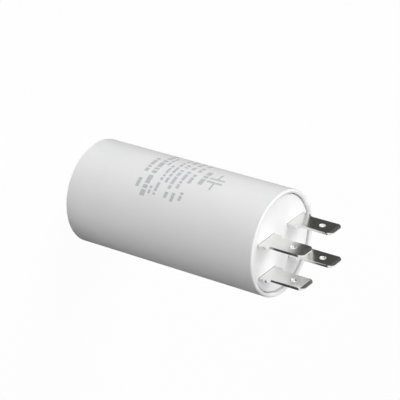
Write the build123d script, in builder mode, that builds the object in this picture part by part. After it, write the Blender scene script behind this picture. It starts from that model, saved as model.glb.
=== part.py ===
# Motor-run film capacitor in a moulded can, with two double push-on terminals.
# Millimetres. The closed end stands on Z = 0 and the blades point along +Z.
# Blade widths run along X and their thickness along Y.

import os

from build123d import *

# Case: a moulded cup with a ledge for the lid just inside its mouth
case_diameter = 32.0
case_length = 67.0
case_floor = 1.6
mouth_wall = 1.2
ledge_width = 0.3
base_edge_bevel = 0.5
rim_flat = 0.1
rim_inner_bevel = 0.6
gate_recess_diameter = 5.0
gate_recess_depth = 0.4
gate_stub_diameter = 1.2
gate_stub_height = 0.25

# Lid: a disc that rests on the ledge, its face a little below the rim
lid_recess = 0.75
lid_thickness = 2.0
lid_clearance = 0.1
lid_edge_bevel = 0.35
slot_clearance = 0.1
edge_margin = 0.93

# Terminals: a strip folded to a U under the lid, each leg a 6.3 x 0.8 blade
blade_width = 6.3
blade_thickness = 0.8
blade_reach = 14.2
shoulder_width = 1.0
foot_height = 2.65
tip_corner_radius = 1.8
tip_taper_length = 1.1
tip_thickness = 0.35
edge_bevel = 0.2
latch_hole_diameter = 1.9
latch_hole_height = 9.2
bend_radius = 0.6
web_clearance = 0.1
row_spacing = 10.57
pattern_x = 0.33
pattern_y = -1.09

# Winding: film rolled on a plastic tube, with a sprayed metal layer on each end
resin_wall = 1.2
wrap_thickness = 0.3
spray_thickness = 0.5
core_diameter = 7.0
core_wall = 0.9
room_below = 2.4
room_above = 5.7

# Leads: flat strips, bent square and bedded in solder at each end
lead_width = 2.0
lead_thickness = 0.4
lead_bend_radius = 0.8
lead_end = 1.0
sleeve_wall = 0.4
sleeve_end_gap = 0.3
solder_radius = 1.7
solder_height = 0.9
solder_bed = 0.25

# Resin: cast to just under the lid
resin_headroom = 0.2

# Radii and heights that follow from the sizes above
case_radius = case_diameter / 2
mouth_radius = case_radius - mouth_wall
bore_radius = mouth_radius - ledge_width
rim_radius = mouth_wall - rim_inner_bevel - rim_flat
lid_top = case_length - lid_recess
lid_bottom = lid_top - lid_thickness
lid_radius = mouth_radius - lid_clearance
web_top = lid_bottom - bend_radius - web_clearance
web_bottom = web_top - blade_thickness
spray_bottom = case_floor + room_below
spray_top = web_bottom - room_above
wrap_radius = bore_radius - resin_wall
film_radius = wrap_radius - wrap_thickness
core_radius = core_diameter / 2
core_bore_radius = core_radius - core_wall
lead_standoff = solder_bed + lead_thickness / 2

# The blades stand as far apart as the lid allows: the foot nearest its edge, on the
# side that the pattern is shifted to, keeps edge_margin from it, measured along X.
foot_width = blade_width + 2 * shoulder_width
nearest_row = abs(pattern_y) + row_spacing / 2 + blade_thickness / 2
half_chord = (lid_radius**2 - nearest_row**2) ** 0.5
column_spacing = 2 * (half_chord - edge_margin - abs(pattern_x)) - foot_width
column_centres = {
    "left": pattern_x - column_spacing / 2,
    "right": pattern_x + column_spacing / 2,
}

os.makedirs("parts", exist_ok=True)


def save(shape, name):
    shape.label = name
    export_step(shape, f"parts/{name}.step")


# Case
with BuildPart() as case:
    with BuildSketch():
        Circle(case_radius)
    extrude(amount=case_length)
    with BuildSketch(Plane.XY.offset(case_floor)):
        Circle(bore_radius)
    extrude(amount=case_length - case_floor, mode=Mode.SUBTRACT)
    with BuildSketch(Plane.XY.offset(lid_bottom)):
        Circle(mouth_radius)
    extrude(amount=case_length - lid_bottom, mode=Mode.SUBTRACT)
    chamfer(case.faces().sort_by(Axis.Z)[-1].edges().sort_by(SortBy.RADIUS)[0], rim_inner_bevel)
    fillet(case.faces().sort_by(Axis.Z)[-1].edges().sort_by(SortBy.RADIUS)[-1], rim_radius)
    chamfer(case.faces().sort_by(Axis.Z)[0].edges(), base_edge_bevel)
    # The moulding gate's shallow recess in the closed end, with the stub it leaves
    with BuildSketch():
        Circle(gate_recess_diameter / 2)
    extrude(amount=gate_recess_depth, mode=Mode.SUBTRACT)
    with BuildSketch(Plane.XY.offset(gate_recess_depth)):
        Circle(gate_stub_diameter / 2)
    extrude(amount=-gate_stub_height)
save(case.part, "case")

# Lid, with one slot for each blade
with BuildPart() as lid:
    with BuildSketch(Plane.XY.offset(lid_bottom)):
        Circle(lid_radius)
        with Locations((pattern_x, pattern_y)), GridLocations(column_spacing, row_spacing, 2, 2):
            Rectangle(
                foot_width + 2 * slot_clearance,
                blade_thickness + 2 * slot_clearance,
                mode=Mode.SUBTRACT,
            )
    extrude(amount=lid_thickness)
    lid_rim = lid.edges().filter_by(GeomType.CIRCLE).sort_by(Axis.Z)[-1]
    chamfer(lid_rim, lid_edge_bevel)
save(lid.part, "lid")

# Terminal, centred on X = 0. The side view gives the folded strip's U, and the front
# view trims both legs at once to the blade's outline, with its concave shoulders.
leg_outer = row_spacing / 2 + blade_thickness / 2
leg_inner = row_spacing / 2 - blade_thickness / 2
tip_top = lid_top + blade_reach
taper_start = tip_top - tip_taper_length
foot_top = lid_top + foot_height
with BuildPart() as terminal:
    with BuildSketch(Plane.YZ):
        with BuildLine():
            FilletPolyline(
                (0, web_bottom),
                (leg_outer, web_bottom),
                (leg_outer, tip_top),
                (leg_inner, tip_top),
                (leg_inner, web_top),
                (0, web_top),
                radius=[0, bend_radius + blade_thickness, 0, 0, bend_radius, 0],
                close=True,
            )
        make_face()
        mirror(about=Plane.YZ)
    extrude(amount=foot_width / 2, both=True)
    with BuildSketch(Plane.XZ):
        with BuildLine():
            foot = Polyline((0, web_bottom), (foot_width / 2, web_bottom), (foot_width / 2, foot_top))
            shoulder_end = (blade_width / 2, foot_top + shoulder_width)
            shoulder = RadiusArc(foot @ 1, shoulder_end, shoulder_width)
            FilletPolyline(
                shoulder @ 1,
                (blade_width / 2, tip_top),
                (0, tip_top),
                radius=tip_corner_radius,
            )
            Line((0, tip_top), (0, web_bottom))
        make_face()
        mirror(about=Plane.YZ)
    extrude(amount=leg_outer, both=True, mode=Mode.INTERSECT)
    # Coined bevel all round each blade, then the thinned tip that guides a receptacle
    blade_sides = terminal.edges().filter_by(Axis.Z).filter_by(
        lambda edge: edge.center().Z > foot_top
    )
    chamfer(blade_sides, edge_bevel)
    with BuildSketch(Plane.YZ):
        for side in (-1, 1):
            with BuildLine():
                Polyline(
                    (row_spacing / 2 + side * tip_thickness / 2, tip_top),
                    (row_spacing / 2 + side * blade_thickness / 2, tip_top),
                    (row_spacing / 2 + side * blade_thickness / 2, taper_start),
                    close=True,
                )
            make_face()
        mirror(about=Plane.YZ)
    extrude(amount=blade_width / 2, both=True, mode=Mode.SUBTRACT)
    with BuildSketch(Plane.XZ):
        with Locations((0, lid_top + latch_hole_height)):
            Circle(latch_hole_diameter / 2)
    extrude(amount=leg_outer, both=True, mode=Mode.SUBTRACT)
terminals = {}
for side, centre_x in column_centres.items():
    terminals[side] = terminal.part.moved(Location((centre_x, pattern_y, 0)))
    save(terminals[side], f"terminal_{side}")

# Winding stack: tube, film, wrap and the metal layer on each end
with BuildPart() as winding_core:
    with BuildSketch(Plane.XY.offset(spray_bottom)):
        Circle(core_radius)
        Circle(core_bore_radius, mode=Mode.SUBTRACT)
    extrude(amount=spray_top - spray_bottom)
save(winding_core.part, "winding_core")

film_bottom = spray_bottom + spray_thickness
film_top = spray_top - spray_thickness
with BuildPart() as film_winding:
    with BuildSketch(Plane.XY.offset(film_bottom)):
        Circle(film_radius)
        Circle(core_radius, mode=Mode.SUBTRACT)
    extrude(amount=film_top - film_bottom)
save(film_winding.part, "film_winding")

with BuildPart() as outer_wrap:
    with BuildSketch(Plane.XY.offset(spray_bottom)):
        Circle(wrap_radius)
        Circle(film_radius, mode=Mode.SUBTRACT)
    extrude(amount=spray_top - spray_bottom)
save(outer_wrap.part, "outer_wrap")

end_sprays = []
for name, height in (("end_spray_bottom", spray_bottom), ("end_spray_top", film_top)):
    with BuildPart() as end_spray:
        with BuildSketch(Plane.XY.offset(height)):
            Circle(film_radius)
            Circle(core_radius, mode=Mode.SUBTRACT)
        extrude(amount=spray_thickness)
    save(end_spray.part, name)
    end_sprays.append(end_spray.part)

# Leads: the short one doubles back from the top layer to the left terminal's web,
# the long one runs from the bottom layer up the core to the right terminal's web.
under_webs = web_bottom - lead_standoff
above_winding = spray_top + lead_standoff
below_winding = spray_bottom - lead_standoff
short_x = column_centres["left"] + solder_radius + lead_bend_radius
short_end_x = column_centres["left"] - lead_end
long_end_x = column_centres["right"] + lead_end
with BuildPart() as lead_top:
    with BuildLine():
        short_path = FilletPolyline(
            (short_end_x, 0, above_winding),
            (short_x, 0, above_winding),
            (short_x, 0, under_webs),
            (short_end_x, 0, under_webs),
            radius=lead_bend_radius,
        )
    with BuildSketch(Plane(origin=short_path @ 0, x_dir=(0, 1, 0), z_dir=short_path % 0)):
        Rectangle(lead_width, lead_thickness)
    sweep()
save(lead_top.part, "lead_top")

with BuildPart() as lead_bottom:
    with BuildLine():
        long_path = FilletPolyline(
            (long_end_x, 0, below_winding),
            (0, 0, below_winding),
            (0, 0, under_webs),
            (long_end_x, 0, under_webs),
            radius=lead_bend_radius,
        )
    with BuildSketch(Plane(origin=long_path @ 0, x_dir=(0, 1, 0), z_dir=long_path % 0)):
        Rectangle(lead_width, lead_thickness)
    sweep()
save(lead_bottom.part, "lead_bottom")

sleeve_bottom = below_winding + lead_bend_radius + sleeve_end_gap
sleeve_top = under_webs - lead_bend_radius - sleeve_end_gap
with BuildPart() as lead_sleeve:
    with BuildSketch(Plane.XY.offset(sleeve_bottom)):
        RectangleRounded(
            lead_thickness + 2 * sleeve_wall,
            lead_width + 2 * sleeve_wall,
            sleeve_wall,
        )
        Rectangle(lead_thickness, lead_width, mode=Mode.SUBTRACT)
    extrude(amount=sleeve_top - sleeve_bottom)
save(lead_sleeve.part, "lead_sleeve")

# Solder joints: a low round pad on the metal, with the lead's end bedded in it
solder_joints = []
for name, side, face, rise, lead in (
    ("solder_bottom_end", "right", spray_bottom, -1, lead_bottom),
    ("solder_top_end", "left", spray_top, 1, lead_top),
    ("solder_left_web", "left", web_bottom, -1, lead_top),
    ("solder_right_web", "right", web_bottom, -1, lead_bottom),
):
    with BuildPart() as solder_joint:
        with Locations(Plane((column_centres[side], 0, face), z_dir=(0, 0, rise))):
            Cylinder(
                solder_radius,
                solder_height,
                align=(Align.CENTER, Align.CENTER, Align.MIN),
            )
        add(lead.part, mode=Mode.SUBTRACT)
    save(solder_joint.part, name)
    solder_joints.append(solder_joint.part)

# Resin: fills the case up to just under the lid, round everything inside
with BuildPart() as potting_resin:
    with BuildSketch(Plane.XY.offset(case_floor)):
        Circle(bore_radius)
    extrude(amount=lid_bottom - resin_headroom - case_floor)
    for piece in (
        winding_core.part,
        film_winding.part,
        outer_wrap.part,
        *end_sprays,
        lead_top.part,
        lead_bottom.part,
        lead_sleeve.part,
        *solder_joints,
        *terminals.values(),
    ):
        add(piece, mode=Mode.SUBTRACT)
save(potting_resin.part, "potting_resin")
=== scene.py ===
import math

import bmesh
import bpy
from mathutils import Matrix, Vector


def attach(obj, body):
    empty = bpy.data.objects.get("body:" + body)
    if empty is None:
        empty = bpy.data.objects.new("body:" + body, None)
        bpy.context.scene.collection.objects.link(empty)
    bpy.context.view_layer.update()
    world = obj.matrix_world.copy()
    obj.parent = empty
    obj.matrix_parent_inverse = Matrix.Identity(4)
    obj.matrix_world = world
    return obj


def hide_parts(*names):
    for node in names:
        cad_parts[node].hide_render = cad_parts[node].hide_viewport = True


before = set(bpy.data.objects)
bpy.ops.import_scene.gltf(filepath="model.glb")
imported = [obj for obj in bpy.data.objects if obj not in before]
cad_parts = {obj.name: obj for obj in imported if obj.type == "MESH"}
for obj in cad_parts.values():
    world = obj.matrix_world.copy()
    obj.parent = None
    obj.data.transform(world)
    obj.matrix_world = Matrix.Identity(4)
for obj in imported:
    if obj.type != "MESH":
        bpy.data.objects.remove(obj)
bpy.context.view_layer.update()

# Camera: a long lens a little over half a metre away, level with the terminals and
# rolled on its side, so that the standing can lies across the picture.
camera_place = (-0.38852, 0.25301, 0.32892)
camera_right = (0.5811, -0.0425, 0.8128)
camera_up = (0.3908, 0.8905, -0.2329)
camera_back = (-0.7139, 0.4529, 0.5340)
camera_data = bpy.data.cameras.new("camera")
camera_data.lens = 167.62
camera_data.sensor_width = 36.0
camera_data.clip_start = 0.05
camera_data.clip_end = 20.0
camera = bpy.data.objects.new("camera", camera_data)
turn = Matrix((camera_right, camera_up, camera_back)).transposed()
camera.rotation_mode = "QUATERNION"
camera.rotation_quaternion = turn.to_quaternion()
camera.location = camera_place
bpy.context.scene.collection.objects.link(camera)
bpy.context.scene.camera = camera
bpy.context.scene.view_settings.view_transform = "Standard"

# Case: a deep cup of white glass-filled polyester, injection moulded in one shot with a
# fine satin skin. Its rim slopes in towards the lid, a ledge inside the mouth carries the
# lid, and the gate in its closed end leaves a short stub in a round recess.
mm = 0.001
can_sides = 192
case_radius = 16.0 * mm
case_length = 67.0 * mm
case_floor = 1.6 * mm
mouth_wall = 1.2 * mm
ledge_depth = 2.75 * mm
ledge_width = 0.3 * mm
rim_radius = 0.5 * mm
rim_radius_steps = 8
rim_slope = 0.6 * mm
rim_slope_steps = 6
base_edge_bevel = 0.5 * mm
gate_recess_radius = 2.5 * mm
gate_recess_depth = 0.4 * mm
gate_stub_radius = 0.6 * mm
gate_stub_height = 0.25 * mm
# How near places, and the middles of faces, must be to count as the same
same_place = 0.02 * mm
same_middle = 0.1 * mm


def settle(piece):
    """Bakes a new primitive's place into its mesh and opens it with nothing selected."""
    bpy.ops.object.mode_set(mode="OBJECT")
    bpy.ops.object.transform_apply(location=True, rotation=True, scale=True)
    bpy.ops.object.mode_set(mode="EDIT")
    bpy.ops.mesh.select_all(action="DESELECT")


def begin(name, primitive, **settings):
    """Adds a primitive on its own and opens it in edit mode with nothing selected."""
    if bpy.context.mode == "EDIT_MESH":
        bpy.ops.object.mode_set(mode="OBJECT")
    bpy.ops.object.select_all(action="DESELECT")
    primitive(**settings)
    piece = bpy.context.object
    piece.name = name
    bpy.ops.object.mode_set(mode="EDIT")
    settle(piece)
    return piece


def pick(piece, mode, test):
    """Selects only the faces, edges or vertices of the open piece that pass the test."""
    bpy.ops.mesh.select_all(action="DESELECT")
    bpy.ops.mesh.select_mode(type=mode)
    mesh = bmesh.from_edit_mesh(piece.data)
    for part in {"FACE": mesh.faces, "EDGE": mesh.edges, "VERT": mesh.verts}[mode]:
        if test(part):
            part.select_set(True)
    mesh.select_flush_mode()
    bmesh.update_edit_mesh(piece.data)


def ring(radius, height):
    """A test for the edges of a ring round Z."""
    return lambda edge: all(
        abs(corner.co.xy.length - radius) < same_place and abs(corner.co.z - height) < same_place
        for corner in edge.verts
    )


def disc(height, normal):
    """A test for the one face across the can at a height."""
    return lambda face: face.normal.z * normal > 0.9 and (
        abs(face.calc_center_median().z - height) < same_place
        and face.calc_center_median().xy.length < same_middle
    )


def push(height):
    """Extrudes the picked face along Z."""
    bpy.ops.mesh.extrude_region_move(TRANSFORM_OT_translate={"value": (0, 0, height)})


def close(piece, material, node_names, smooth_below=35):
    """Leaves edit mode, bakes the place into the mesh, smooths it and puts it on the can."""
    if bpy.context.mode == "EDIT_MESH":
        bpy.ops.object.mode_set(mode="OBJECT")
    bpy.ops.object.select_all(action="DESELECT")
    piece.select_set(True)
    bpy.context.view_layer.objects.active = piece
    bpy.ops.object.transform_apply(location=True, rotation=True, scale=True)
    bpy.ops.object.shade_smooth_by_angle(angle=math.radians(smooth_below))
    weighted = piece.modifiers.new("even_shading", "WEIGHTED_NORMAL")
    weighted.keep_sharp = True
    bpy.ops.object.modifier_apply(modifier=weighted.name)
    piece.data.materials.clear()
    piece.data.materials.append(material)
    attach(piece, "root")
    if node_names:
        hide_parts(*node_names)


def linear(code):
    """An sRGB hex code as a linear colour."""
    parts = [int(code[i:i + 2], 16) / 255 for i in (1, 3, 5)]
    return [p / 12.92 if p <= 0.04045 else ((p + 0.055) / 1.055) ** 2.4 for p in parts] + [1.0]


def wire(material, node, **links):
    """Links sockets to a node's inputs, by name, or by place as input_0 or input_1."""
    for name, socket in links.items():
        entry = int(name[-1]) if name.startswith("input_") else name.replace("_", " ")
        material.node_tree.links.new(socket, node.inputs[entry])


def add_node(material, kind, settings=None, **links):
    """Adds a shader node; a setting is a property or an input, a link is input=socket."""
    node = material.node_tree.nodes.new(kind)
    for name, value in (settings or {}).items():
        if hasattr(node, name):
            setattr(node, name, value)
        else:
            node.inputs[name].default_value = value
    wire(material, node, **links)
    return node


def new_finish(name, **sockets):
    """A material, its shader node and the object's own coordinates. Even values are set
    on the shader's own sockets."""
    material = bpy.data.materials.new(name)
    material.use_nodes = True
    shader = material.node_tree.nodes["Principled BSDF"]
    for socket, value in sockets.items():
        shader.inputs[socket.replace("_", " ")].default_value = value
    place = add_node(material, "ShaderNodeTexCoord")
    return material, shader, place.outputs["Object"]


# Moulded polyester: an even satin white, with the tool's fine spark-eroded grain and a
# faint cloudiness in colour and gloss from the way the melt flowed
grain_size = 0.25 * mm
cloud_size = 9.0 * mm
white_plastic, shader, place = new_finish("moulded_satin_polyester", IOR=1.54)
grain = add_node(white_plastic, "ShaderNodeTexNoise",
                 {"Scale": 1 / grain_size, "Detail": 2.0}, Vector=place)
clouds = add_node(white_plastic, "ShaderNodeTexNoise",
                  {"Scale": 1 / cloud_size, "Detail": 3.0}, Vector=place)
tint = add_node(white_plastic, "ShaderNodeMixRGB",
                {"Color1": linear("#EDEDED"), "Color2": linear("#E8E8E9")},
                Fac=clouds.outputs["Fac"])
gloss = add_node(white_plastic, "ShaderNodeMapRange", {"To Min": 0.32, "To Max": 0.42},
                 Value=clouds.outputs["Fac"])
skin = add_node(white_plastic, "ShaderNodeBump", {"Strength": 0.25, "Distance": 0.01 * mm},
                Height=grain.outputs["Fac"])
wire(white_plastic, shader, Base_Color=tint.outputs["Color"],
     Roughness=gloss.outputs["Result"], Normal=skin.outputs["Normal"])

case = begin("case_moulding", bpy.ops.mesh.primitive_cylinder_add, vertices=can_sides,
             radius=case_radius, depth=case_length, location=(0, 0, case_length / 2))
pick(case, "FACE", disc(case_length, 1))
bpy.ops.mesh.inset(thickness=mouth_wall)
push(-ledge_depth)
bpy.ops.mesh.inset(thickness=ledge_width)
push(case_floor + ledge_depth - case_length)
pick(case, "FACE", disc(0, -1))
bpy.ops.mesh.inset(thickness=case_radius - gate_recess_radius)
push(gate_recess_depth)
bpy.ops.mesh.inset(thickness=gate_recess_radius - gate_stub_radius)
push(-gate_stub_height)
for radius, height, offset, segments in (
    (case_radius, case_length, rim_radius, rim_radius_steps),
    (case_radius - mouth_wall, case_length, rim_slope, rim_slope_steps),
    (case_radius, 0, base_edge_bevel, 1),
):
    pick(case, "EDGE", ring(radius, height))
    bpy.ops.mesh.bevel(offset=offset, segments=segments, affect="EDGES")
close(case, white_plastic, ["case"])

# Winding: two polypropylene films with a vapour-deposited zinc layer, wound in hundreds
# of turns on a plastic tube. It stays the modelled solid, hidden in the sealed can.


def dress(finish, *names):
    """Gives modelled nodes that stay as they are their finish."""
    for name in names:
        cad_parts[name].data.materials.clear()
        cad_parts[name].data.materials.append(finish)


# Metallised film: a silvery grey roll. The turns are a few microns thick, so their edges
# are drawn as coarser rings, each a little higher or lower than the next.
turn_pitch = 0.15 * mm
film, shader, place = new_finish("metallised_polypropylene_roll", Metallic=0.85, Roughness=0.28)
turns = add_node(film, "ShaderNodeTexWave",
                 {"wave_type": "RINGS", "rings_direction": "Z", "Distortion": 1.5,
                  "Scale": math.pi / (10 * turn_pitch)}, Vector=place)
sheen = add_node(film, "ShaderNodeMixRGB",
                 {"Color1": linear("#A9ABAF"), "Color2": linear("#C6C8CC")},
                 Fac=turns.outputs["Fac"])
edges = add_node(film, "ShaderNodeBump", {"Strength": 0.4, "Distance": 0.02 * mm},
                 Height=turns.outputs["Fac"])
wire(film, shader, Base_Color=sheen.outputs["Color"], Normal=edges.outputs["Normal"])
dress(film, "film_winding")

# Core tube: extruded natural polypropylene, milky and waxy, with faint lines drawn along
# it by the die.
die_line = 0.2 * mm
core_tube, shader, place = new_finish("extruded_natural_polypropylene", Roughness=0.42,
                                      IOR=1.49)
along = add_node(core_tube, "ShaderNodeMapping", {"Scale": (1, 1, 0.02)}, Vector=place)
drawn = add_node(core_tube, "ShaderNodeTexNoise", {"Scale": 1 / die_line, "Detail": 2.0},
                 Vector=along.outputs["Vector"])
milk = add_node(core_tube, "ShaderNodeMixRGB",
                {"Color1": linear("#DCDCD4"), "Color2": linear("#E6E6E0")},
                Fac=drawn.outputs["Fac"])
ribs = add_node(core_tube, "ShaderNodeBump", {"Strength": 0.3, "Distance": 0.01 * mm},
                Height=drawn.outputs["Fac"])
wire(core_tube, shader, Base_Color=milk.outputs["Color"], Normal=ribs.outputs["Normal"])
dress(core_tube, "winding_core")

# Wrap: a few last turns of bare clear film, heat-sealed round the roll. Over the metal it
# looks pale straw, and air caught under it leaves soft lighter patches.
air_patch = 5.0 * mm
clear_wrap, shader, place = new_finish("clear_film_wrap", IOR=1.49)
air = add_node(clear_wrap, "ShaderNodeTexNoise", {"Scale": 1 / air_patch, "Detail": 4.0},
               Vector=place)
straw = add_node(clear_wrap, "ShaderNodeMixRGB",
                 {"Color1": linear("#D8D2B8"), "Color2": linear("#E9E6D6")},
                 Fac=air.outputs["Fac"])
smooth = add_node(clear_wrap, "ShaderNodeMapRange", {"To Min": 0.12, "To Max": 0.3},
                  Value=air.outputs["Fac"])
wire(clear_wrap, shader, Base_Color=straw.outputs["Color"], Roughness=smooth.outputs["Result"])
dress(clear_wrap, "outer_wrap")

# End layers: zinc wire melted in an arc and sprayed on both ends of the roll, where it
# joins the film edges. It is matt, mid grey and grainy, like fine sandpaper.
spatter_size = 0.22 * mm
zinc_spray, shader, place = new_finish("arc_sprayed_zinc", Metallic=0.9)
spatter = add_node(zinc_spray, "ShaderNodeTexNoise",
                   {"Scale": 1 / spatter_size, "Detail": 4.0}, Vector=place)
dull = add_node(zinc_spray, "ShaderNodeMixRGB",
                {"Color1": linear("#7C7E81"), "Color2": linear("#A2A4A6")},
                Fac=spatter.outputs["Fac"])
matt = add_node(zinc_spray, "ShaderNodeMapRange", {"To Min": 0.55, "To Max": 0.8},
                Value=spatter.outputs["Fac"])
grains = add_node(zinc_spray, "ShaderNodeBump", {"Strength": 0.8, "Distance": 0.05 * mm},
                  Height=spatter.outputs["Fac"])
wire(zinc_spray, shader, Base_Color=dull.outputs["Color"], Roughness=matt.outputs["Result"],
     Normal=grains.outputs["Normal"])
dress(zinc_spray, "end_spray_top", "end_spray_bottom")

# Leads: flat tinned copper strip, bent square by hand. The hot-dipped tin is bright, with
# soft ripples, and the copper shows through a little warmer where it is thin.
dip_ripple = 0.8 * mm
tinned_copper, shader, place = new_finish("hot_dipped_tin_on_copper", Metallic=1.0)
ripple = add_node(tinned_copper, "ShaderNodeTexNoise", {"Scale": 1 / dip_ripple, "Detail": 2.0},
                  Vector=place)
warmth = add_node(tinned_copper, "ShaderNodeMixRGB",
                  {"Color1": linear("#D9D6D0"), "Color2": linear("#D2C3B4")},
                  Fac=ripple.outputs["Fac"])
dipped = add_node(tinned_copper, "ShaderNodeMapRange", {"To Min": 0.14, "To Max": 0.3},
                  Value=ripple.outputs["Fac"])
waves = add_node(tinned_copper, "ShaderNodeBump", {"Strength": 0.4, "Distance": 0.02 * mm},
                 Height=ripple.outputs["Fac"])
wire(tinned_copper, shader, Base_Color=warmth.outputs["Color"],
     Roughness=dipped.outputs["Result"], Normal=waves.outputs["Normal"])
dress(tinned_copper, "lead_top", "lead_bottom")

# Sleeve: a tube of white silicone-coated glass braid, which keeps the long lead off the
# roll. The braid shows as a fine diamond relief under a matt coat.
braid_pitch = 0.5 * mm
sleeving, shader, place = new_finish("silicone_coated_glass_braid", Roughness=0.6, IOR=1.42)
strands = []
for lean in (-1, 1):
    slant = add_node(sleeving, "ShaderNodeMapping",
                     {"Rotation": (0, lean * math.pi / 4, 0)}, Vector=place)
    strands.append(add_node(sleeving, "ShaderNodeTexWave",
                            {"bands_direction": "Z", "Scale": math.pi / (10 * braid_pitch)},
                            Vector=slant.outputs["Vector"]))
braid = add_node(sleeving, "ShaderNodeMath", {"operation": "MAXIMUM"},
                 input_0=strands[0].outputs["Fac"], input_1=strands[1].outputs["Fac"])
coat = add_node(sleeving, "ShaderNodeMixRGB",
                {"Color1": linear("#DADAD3"), "Color2": linear("#EDEDE8")},
                Fac=braid.outputs["Value"])
relief = add_node(sleeving, "ShaderNodeBump", {"Strength": 0.5, "Distance": 0.03 * mm},
                  Height=braid.outputs["Value"])
wire(sleeving, shader, Base_Color=coat.outputs["Color"], Normal=relief.outputs["Normal"])
dress(sleeving, "lead_sleeve")

# Solder: tin-copper solder, iron-soldered onto the zinc and the terminals' webs. It sets
# dull silver, with a frosty grain.
frost_size = 0.3 * mm
solder, shader, place = new_finish("set_tin_copper_solder", Metallic=1.0)
frost = add_node(solder, "ShaderNodeTexVoronoi", {"Scale": 1 / frost_size}, Vector=place)
silver = add_node(solder, "ShaderNodeMixRGB",
                  {"Color1": linear("#B9BABC"), "Color2": linear("#CFD0D1")},
                  Fac=frost.outputs["Distance"])
dulled = add_node(solder, "ShaderNodeMapRange", {"To Min": 0.3, "To Max": 0.5},
                  Value=frost.outputs["Distance"])
frosty = add_node(solder, "ShaderNodeBump", {"Strength": 0.3, "Distance": 0.02 * mm},
                  Height=frost.outputs["Distance"])
wire(solder, shader, Base_Color=silver.outputs["Color"], Roughness=dulled.outputs["Result"],
     Normal=frosty.outputs["Normal"])
dress(solder, "solder_top_end", "solder_bottom_end", "solder_left_web", "solder_right_web")

# Potting: two-part polyurethane poured round the roll until just under the lid. It sets
# opaque grey, glossy where it met air, with flow clouds and small bubbles.
flow_size = 6.0 * mm
bubble_size = 0.9 * mm
resin, shader, place = new_finish("cast_grey_polyurethane", IOR=1.5)
flow = add_node(resin, "ShaderNodeTexNoise", {"Scale": 1 / flow_size, "Detail": 4.0},
                Vector=place)
greys = add_node(resin, "ShaderNodeMixRGB",
                 {"Color1": linear("#8F8D88"), "Color2": linear("#A09E99")},
                 Fac=flow.outputs["Fac"])
set_gloss = add_node(resin, "ShaderNodeMapRange", {"To Min": 0.2, "To Max": 0.38},
                     Value=flow.outputs["Fac"])
bubbles = add_node(resin, "ShaderNodeTexVoronoi", {"Scale": 1 / bubble_size}, Vector=place)
pits = add_node(resin, "ShaderNodeMapRange", {"From Min": 0.0, "From Max": 0.22},
                Value=bubbles.outputs["Distance"])
pitted = add_node(resin, "ShaderNodeBump", {"Strength": 0.5, "Distance": 0.04 * mm},
                  Height=pits.outputs["Result"])
wire(resin, shader, Base_Color=greys.outputs["Color"], Roughness=set_gloss.outputs["Result"],
     Normal=pitted.outputs["Normal"])
dress(resin, "potting_resin")

# Lid: a white disc of the same plastic, pressed into the mouth until it meets the ledge.
# Four slots let the blades through, each a tenth of a millimetre clear of the metal.
lid_radius = 14.7 * mm
lid_bottom = 64.25 * mm
lid_top = 66.25 * mm
lid_edge_slope = 0.4 * mm
lid_edge_depth = 0.9 * mm
lid_edge_softness = 0.1 * mm
lid_edge_steps = 2
slot_width = 8.5 * mm
slot_thickness = 1.0 * mm
slot_depth = 4.0 * mm
pattern_x = 0.33 * mm
pattern_y = -1.09 * mm
row_spacing = 10.57 * mm
column_spacing = 15.271 * mm
lid_side_top = lid_top - lid_edge_depth
lid_face_radius = lid_radius - lid_edge_slope
lid = begin("lid_disc", bpy.ops.mesh.primitive_cylinder_add, vertices=can_sides,
            radius=lid_radius, depth=lid_side_top - lid_bottom,
            location=(0, 0, (lid_side_top + lid_bottom) / 2))
pick(lid, "FACE", disc(lid_side_top, 1))
push(lid_edge_depth)
bpy.ops.transform.resize(value=(lid_face_radius / lid_radius, lid_face_radius / lid_radius, 1))
pick(lid, "EDGE", ring(lid_face_radius, lid_top))
bpy.ops.mesh.bevel(offset=lid_edge_softness, segments=lid_edge_steps, affect="EDGES")
bpy.ops.object.mode_set(mode="OBJECT")
for side_x in (-1, 1):
    for side_y in (-1, 1):
        bpy.ops.object.select_all(action="DESELECT")
        bpy.ops.mesh.primitive_cube_add(size=1, location=(
            pattern_x + side_x * column_spacing / 2,
            pattern_y + side_y * row_spacing / 2,
            (lid_top + lid_bottom) / 2,
        ), scale=(slot_width, slot_thickness, slot_depth))
        cutter = bpy.context.object
        slot_cut = lid.modifiers.new("slot", "BOOLEAN")
        slot_cut.operation = "DIFFERENCE"
        slot_cut.object = cutter
        bpy.context.view_layer.objects.active = lid
        bpy.ops.object.modifier_apply(modifier=slot_cut.name)
        bpy.data.objects.remove(cutter)
close(lid, white_plastic, ["lid"])

# Terminals: tin-plated brass strip, blanked and folded to a U under the lid, so that each
# one gives two 6.3 mm blades. The press leaves a coined bevel down both sides, a thinned
# tip and a round latch hole. Half of one is modelled, mirrored and copied.
blade_width = 6.3 * mm
blade_thickness = 0.8 * mm
shoulder_width = 1.0 * mm
foot_top = 68.9 * mm
tip_top = 80.45 * mm
tip_taper_length = 1.1 * mm
tip_thickness = 0.35 * mm
tip_corner_radius = 1.8 * mm
coin_bevel = 0.08 * mm
latch_hole_radius = 0.95 * mm
latch_hole_height = 75.45 * mm
latch_hole_sides = 48
punch_length = 4 * mm
hole_edge_roll = 0.1 * mm
hole_edge_steps = 2
# How near points must be to count as the same, and as on the rim of the hole
same_point = 0.001 * mm
same_rim = 0.01 * mm
web_bottom = 62.75 * mm
fold_radius = 1.4 * mm
leg_y = row_spacing / 2

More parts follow.
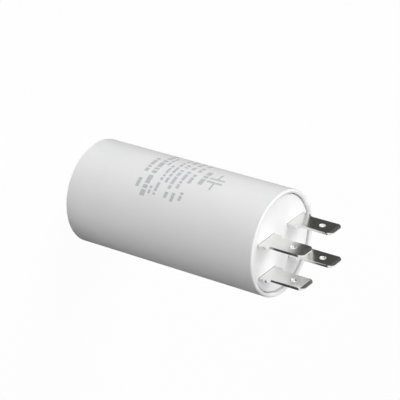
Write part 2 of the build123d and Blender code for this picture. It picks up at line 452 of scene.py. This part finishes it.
# Tinned brass: bright and nearly smooth, with faint lines along the strip from rolling
# and a slight orange peel where the tin was reflowed, which softens what it mirrors
rolling_line = 0.12 * mm
peel_size = 1.4 * mm
tinned_brass, shader, place = new_finish("reflowed_tin_on_brass", Metallic=1.0,
                                         Base_Color=linear("#E3E3E1"))
along = add_node(tinned_brass, "ShaderNodeMapping", {"Scale": (1, 1, 0.02)}, Vector=place)
lines = add_node(tinned_brass, "ShaderNodeTexNoise", {"Scale": 1 / rolling_line, "Detail": 2.0},
                 Vector=along.outputs["Vector"])
peel = add_node(tinned_brass, "ShaderNodeTexNoise", {"Scale": 1 / peel_size, "Detail": 1.0},
                Vector=place)
gloss = add_node(tinned_brass, "ShaderNodeMapRange", {"To Min": 0.12, "To Max": 0.26},
                 Value=lines.outputs["Fac"])
rolled = add_node(tinned_brass, "ShaderNodeBump", {"Strength": 0.3, "Distance": 0.002 * mm},
                  Height=lines.outputs["Fac"])
uneven = add_node(tinned_brass, "ShaderNodeBump", {"Strength": 0.3, "Distance": 0.02 * mm},
                  Height=peel.outputs["Fac"], Normal=rolled.outputs["Normal"])
wire(tinned_brass, shader, Roughness=gloss.outputs["Result"], Normal=uneven.outputs["Normal"])

# Half a strip: the web is drawn out to the fold, turned up round it and drawn up to the
# foot, then narrowed round the hollow shoulders, the tip's corners and its thinned end
foot_width = blade_width + 2 * shoulder_width
fold_steps = 8
shoulder_steps = 6
corner_steps = 8
fold_y = leg_y + blade_thickness / 2 - fold_radius
strip = begin("strip", bpy.ops.mesh.primitive_cube_add, size=1,
              location=(0, fold_y / 2, web_bottom + blade_thickness / 2),
              scale=(foot_width, fold_y, blade_thickness))
pick(strip, "FACE", lambda face: face.normal.y > 0.9)
bpy.ops.mesh.spin(steps=fold_steps, angle=-math.pi / 2, axis=(1, 0, 0),
                  center=(0, fold_y, web_bottom + fold_radius))
profile = [(foot_top, foot_width, blade_thickness)]
for step in range(1, shoulder_steps + 1):
    angle = math.pi / 2 * step / shoulder_steps
    profile.append((foot_top + shoulder_width * (1 - math.cos(angle)),
                    foot_width - 2 * shoulder_width * math.sin(angle), blade_thickness))
for side in (-1, 1):
    profile.append((latch_hole_height + 2 * side * latch_hole_radius, blade_width,
                    blade_thickness))
corner_start = tip_top - tip_corner_radius
taper_start = tip_top - tip_taper_length
heights = [corner_start + tip_corner_radius * math.sin(math.pi / 2 * step / corner_steps)
           for step in range(corner_steps + 1)]
for height in sorted(heights + [taper_start]):
    rise = min((height - corner_start) / tip_corner_radius, 1)
    thinned = max(0, height - taper_start) / tip_taper_length
    profile.append((height,
                    blade_width - 2 * tip_corner_radius * (1 - math.sqrt(1 - rise * rise)),
                    blade_thickness + thinned * (tip_thickness - blade_thickness)))
height, width, thickness = web_bottom + fold_radius, foot_width, blade_thickness
for new_height, new_width, new_thickness in profile:
    push(new_height - height)
    bpy.ops.transform.resize(value=(new_width / width, new_thickness / thickness, 1))
    height, width, thickness = new_height, new_width, new_thickness


def is_blade_edge(edge):
    """The long edges down both sides of a blade's two faces."""
    return all(abs(abs(v.co.x) - blade_width / 2) < same_point for v in edge.verts) and (
        sum(abs(face.normal.y) > 0.8 for face in edge.link_faces) == 1
    )


pick(strip, "EDGE", is_blade_edge)
bpy.ops.mesh.bevel(offset=coin_bevel, segments=1, affect="EDGES", clamp_overlap=False)
pick(strip, "FACE", lambda face: abs(face.calc_center_median().y) < same_point)
bpy.ops.mesh.delete(type="FACE")
hole = begin("hole", bpy.ops.mesh.primitive_cylinder_add, vertices=latch_hole_sides,
             radius=latch_hole_radius, depth=punch_length,
             location=(0, leg_y, latch_hole_height), rotation=(math.pi / 2, 0, 0))
bpy.ops.object.mode_set(mode="OBJECT")
for piece in (strip, hole):
    bpy.context.view_layer.objects.active = piece
    other_half = piece.modifiers.new("other_half", "MIRROR")
    other_half.use_axis = (False, True, False)
    other_half.merge_threshold = same_rim
    bpy.ops.object.modifier_apply(modifier=other_half.name)
bpy.context.view_layer.objects.active = strip
bpy.ops.object.mode_set(mode="EDIT")
bpy.ops.mesh.select_all(action="SELECT")
bpy.ops.mesh.remove_doubles(threshold=same_point)
bpy.ops.mesh.normals_make_consistent(inside=False)
bpy.ops.object.mode_set(mode="OBJECT")
punch = strip.modifiers.new("latch_holes", "BOOLEAN")
punch.operation = "DIFFERENCE"
punch.object = hole
bpy.ops.object.modifier_apply(modifier=punch.name)
bpy.data.objects.remove(hole)
bpy.ops.object.mode_set(mode="EDIT")
pick(strip, "EDGE", lambda edge: all(
    abs(math.hypot(v.co.x, v.co.z - latch_hole_height) - latch_hole_radius) < same_rim
    for v in edge.verts) and abs(edge.verts[0].co.y - edge.verts[1].co.y) < same_rim)
bpy.ops.mesh.bevel(offset=hole_edge_roll, segments=hole_edge_steps, affect="EDGES")
bpy.ops.object.mode_set(mode="OBJECT")
for side, direction in (("left", -1), ("right", 1)):
    terminal = strip.copy()
    terminal.data = strip.data.copy()
    terminal.name = f"terminal_strip_{side}"
    terminal.location = (pattern_x + direction * column_spacing / 2, pattern_y, 0)
    bpy.context.scene.collection.objects.link(terminal)
    close(terminal, tinned_brass, [f"terminal_{side}"], smooth_below=20)
bpy.data.objects.remove(strip)

# Print: what is stamped on the side in thin grey ink, once it is filled and closed. It is
# kept to plain bars in rows and the drawing sign for a capacitor, two plates with leads.
ink_depth = 0.04 * mm
ink_radius = case_radius + ink_depth / 2
bar_lengths = (1.9, 1.1, 2.6, 0.8, 1.5, 3.0, 1.2)
bar_gap = 0.45
bar_cuts = 3
print_middle = 100.0
rows = (
    # height of the middle, bar height, and where each run of bars starts and ends (degrees)
    (42.4, 1.5, ((87, 112),)),
    (39.0, 1.1, ((62, 76), (82, 93), (98, 114), (125, 136))),
    (36.5, 1.1, ((64, 81), (86, 92), (96, 124), (128, 138))),
    (34.1, 1.1, ((66, 80), (84, 92), (97, 126), (129, 139))),
    (32.0, 0.9, ((68, 78), (82, 92), (94, 122))),
    (30.1, 0.9, ((93, 118), (121, 136))),
    (28.3, 0.8, ((75, 95), (127, 136))),
    (26.3, 1.6, ((62, 84), (87, 112), (115, 141))),
    (23.5, 1.2, ((86, 112), (121, 134))),
)
bars = []
for row_height, bar_height, runs in rows:
    for first, last in runs:
        at, end = math.radians(first) * case_radius / mm, math.radians(last) * case_radius / mm
        while end - at > bar_gap:
            bar = min(bar_lengths[len(bars) % len(bar_lengths)], end - at)
            bars.append((at + bar / 2, row_height, bar, bar_height))
            at += bar + bar_gap
middle = math.radians(print_middle) * case_radius / mm
sign_height = 46.4
plate_offset = 0.8
plate_width = 0.7
plate_height = 5.2
lead_offset = 2.5
lead_length = 2.7
lead_height = 0.6
for offset, width, height in (
    (-plate_offset, plate_width, plate_height),
    (plate_offset, plate_width, plate_height),
    (-lead_offset, lead_length, lead_height),
    (lead_offset, lead_length, lead_height),
):
    bars.append((middle + offset, sign_height, width, height))
left = min(at - bar / 2 for at, row_height, bar, bar_height in bars)
right = max(at + bar / 2 for at, row_height, bar, bar_height in bars)

# Stamping ink: flat and a little chalky, thin enough for the white to show in specks
speck_size = 0.16 * mm
grey_ink, shader, place = new_finish("stamped_grey_ink", Roughness=0.6)
specks = add_node(grey_ink, "ShaderNodeTexNoise", {"Scale": 1 / speck_size, "Detail": 2.0},
                  Vector=place)
bare = add_node(grey_ink, "ShaderNodeMapRange", {"From Min": 0.4, "From Max": 0.6},
                Value=specks.outputs["Fac"])
cover = add_node(grey_ink, "ShaderNodeMixRGB",
                 {"Color1": linear("#CFCFD1"), "Color2": linear("#ADADB0")},
                 Fac=bare.outputs["Result"])
wire(grey_ink, shader, Base_Color=cover.outputs["Color"])

# The bars are laid out flat, bent to the can's radius and turned to the printed side
ink = None
for at, row_height, bar, bar_height in bars:
    where = dict(size=mm, rotation=(math.pi / 2, 0, 0),
                 location=((at - middle) * mm, 0, row_height * mm))
    if ink is None:
        ink = begin("side_print", bpy.ops.mesh.primitive_plane_add, **where)
        bpy.ops.mesh.select_all(action="SELECT")
    else:
        bpy.ops.mesh.primitive_plane_add(**where)
    bpy.ops.transform.resize(value=(bar, 1, bar_height))
bpy.ops.mesh.select_all(action="SELECT")
bpy.ops.mesh.subdivide(number_cuts=bar_cuts)
bpy.ops.object.mode_set(mode="OBJECT")
bend = ink.modifiers.new("round_the_can", "SIMPLE_DEFORM")
bend.deform_method = "BEND"
bend.deform_axis = "Z"
bend.angle = (right - left) * mm / ink_radius
bpy.ops.object.modifier_apply(modifier=bend.name)
thick = ink.modifiers.new("ink_film", "SOLIDIFY")
thick.thickness = ink_depth
thick.offset = -1
bpy.ops.object.modifier_apply(modifier=thick.name)
for point in ink.data.vertices:
    point.co.y -= ink_radius
ink.rotation_euler.z = math.radians(print_middle + 90)
close(ink, grey_ink, [])

# Floor: a wide sheet of matt white paper. The camera and what is mirrored see it almost
# evenly white, and it keeps a faint part of the can's shadow.
floor_size = 6.0
floor_whiteness = 0.96
bpy.ops.object.select_all(action="DESELECT")
bpy.ops.mesh.primitive_plane_add(size=floor_size, location=(0, 0, 0))
floor = bpy.context.object
floor.name = "floor"
white_paper = bpy.data.materials.new("matt_white_paper")
white_paper.use_nodes = True
white_paper.node_tree.nodes.clear()
paper = add_node(white_paper, "ShaderNodeBsdfDiffuse", {"Color": linear("#E6E6E6")})
glow = add_node(white_paper, "ShaderNodeEmission", {"Strength": 1.0})


def seen_directly(material):
    """One for what the camera sees, straight, mirrored or through glass, else zero."""
    rays = add_node(material, "ShaderNodeLightPath")
    mirrored = add_node(material, "ShaderNodeMath", {"operation": "MAXIMUM"},
                        input_0=rays.outputs["Is Camera Ray"],
                        input_1=rays.outputs["Is Glossy Ray"])
    through = add_node(material, "ShaderNodeMath", {"operation": "MAXIMUM"},
                       input_0=mirrored.outputs["Value"],
                       input_1=rays.outputs["Is Transmission Ray"])
    return through.outputs["Value"]


share = add_node(white_paper, "ShaderNodeMath", {"operation": "MULTIPLY"},
                 input_0=seen_directly(white_paper))
share.inputs[1].default_value = floor_whiteness
blend = add_node(white_paper, "ShaderNodeMixShader", Fac=share.outputs["Value"],
                 input_1=paper.outputs["BSDF"], input_2=glow.outputs["Emission"])
add_node(white_paper, "ShaderNodeOutputMaterial", Surface=blend.outputs["Shader"])
floor.data.materials.append(white_paper)

# Studio: white all round for the camera and for what is mirrored, and no light of its own
studio = bpy.data.worlds.new("white_studio")
bpy.context.scene.world = studio
studio.use_nodes = True
studio.node_tree.nodes.clear()
surround = add_node(studio, "ShaderNodeBackground", {"Color": (1.0, 1.0, 1.0, 1.0)},
                    Strength=seen_directly(studio))
add_node(studio, "ShaderNodeOutputWorld", Surface=surround.outputs["Background"])

# Lamps: square soft boxes in a ring, each turned to the middle of the can
lamp_distance = 0.9
lamp_size = 0.5
can_middle = Vector((0, 0, 0.04))
for name, azimuth, elevation, power in (
    ("top_soft_box", 0, 90, 4.1),
    ("low_soft_box", 120, 10, 3.0),
    ("side_soft_box", 150, 10, 1.15),
    ("back_soft_box", 60, 35, 2.45),
    ("high_soft_box", 60, 60, 2.1),
):
    around, up = math.radians(azimuth), math.radians(elevation)
    outward = Vector((math.cos(around) * math.cos(up), math.sin(around) * math.cos(up),
                      math.sin(up)))
    lamp_data = bpy.data.lights.new(name, "AREA")
    lamp_data.shape = "SQUARE"
    lamp_data.size = lamp_size
    lamp_data.energy = power
    lamp = bpy.data.objects.new(name, lamp_data)
    lamp.location = can_middle + outward * lamp_distance
    lamp.rotation_mode = "QUATERNION"
    lamp.rotation_quaternion = outward.to_track_quat("Z", "Y")
    bpy.context.scene.collection.objects.link(lamp)

# Dark card: a grey sheet beside the can that only what is mirrored sees, a painted dark
# reflection.
# It gives the bright blades and the glossy plastic a dark side to mirror where nothing dark
# stands.
card_left = -0.03
card_right = 0.30
card_front = -0.07
card_back = 0.12
card_height = 0.5 * mm
bpy.ops.object.select_all(action="DESELECT")
bpy.ops.mesh.primitive_plane_add(
    size=1,
    location=((card_left + card_right) / 2, (card_front + card_back) / 2, card_height),
    scale=(card_right - card_left, card_back - card_front, 1))
card = bpy.context.object
card.name = "dark_card"
card.visible_camera = False
card.visible_diffuse = False
card.visible_shadow = False
card.visible_transmission = False
# Its flat grey is a painted dark reflection, seen only in what is mirrored
dark_reflection_finish = new_finish("painted_dark_reflection", Roughness=1.0, Base_Color=linear("#3A3A3A"))[0]
card.data.materials.append(dark_reflection_finish)
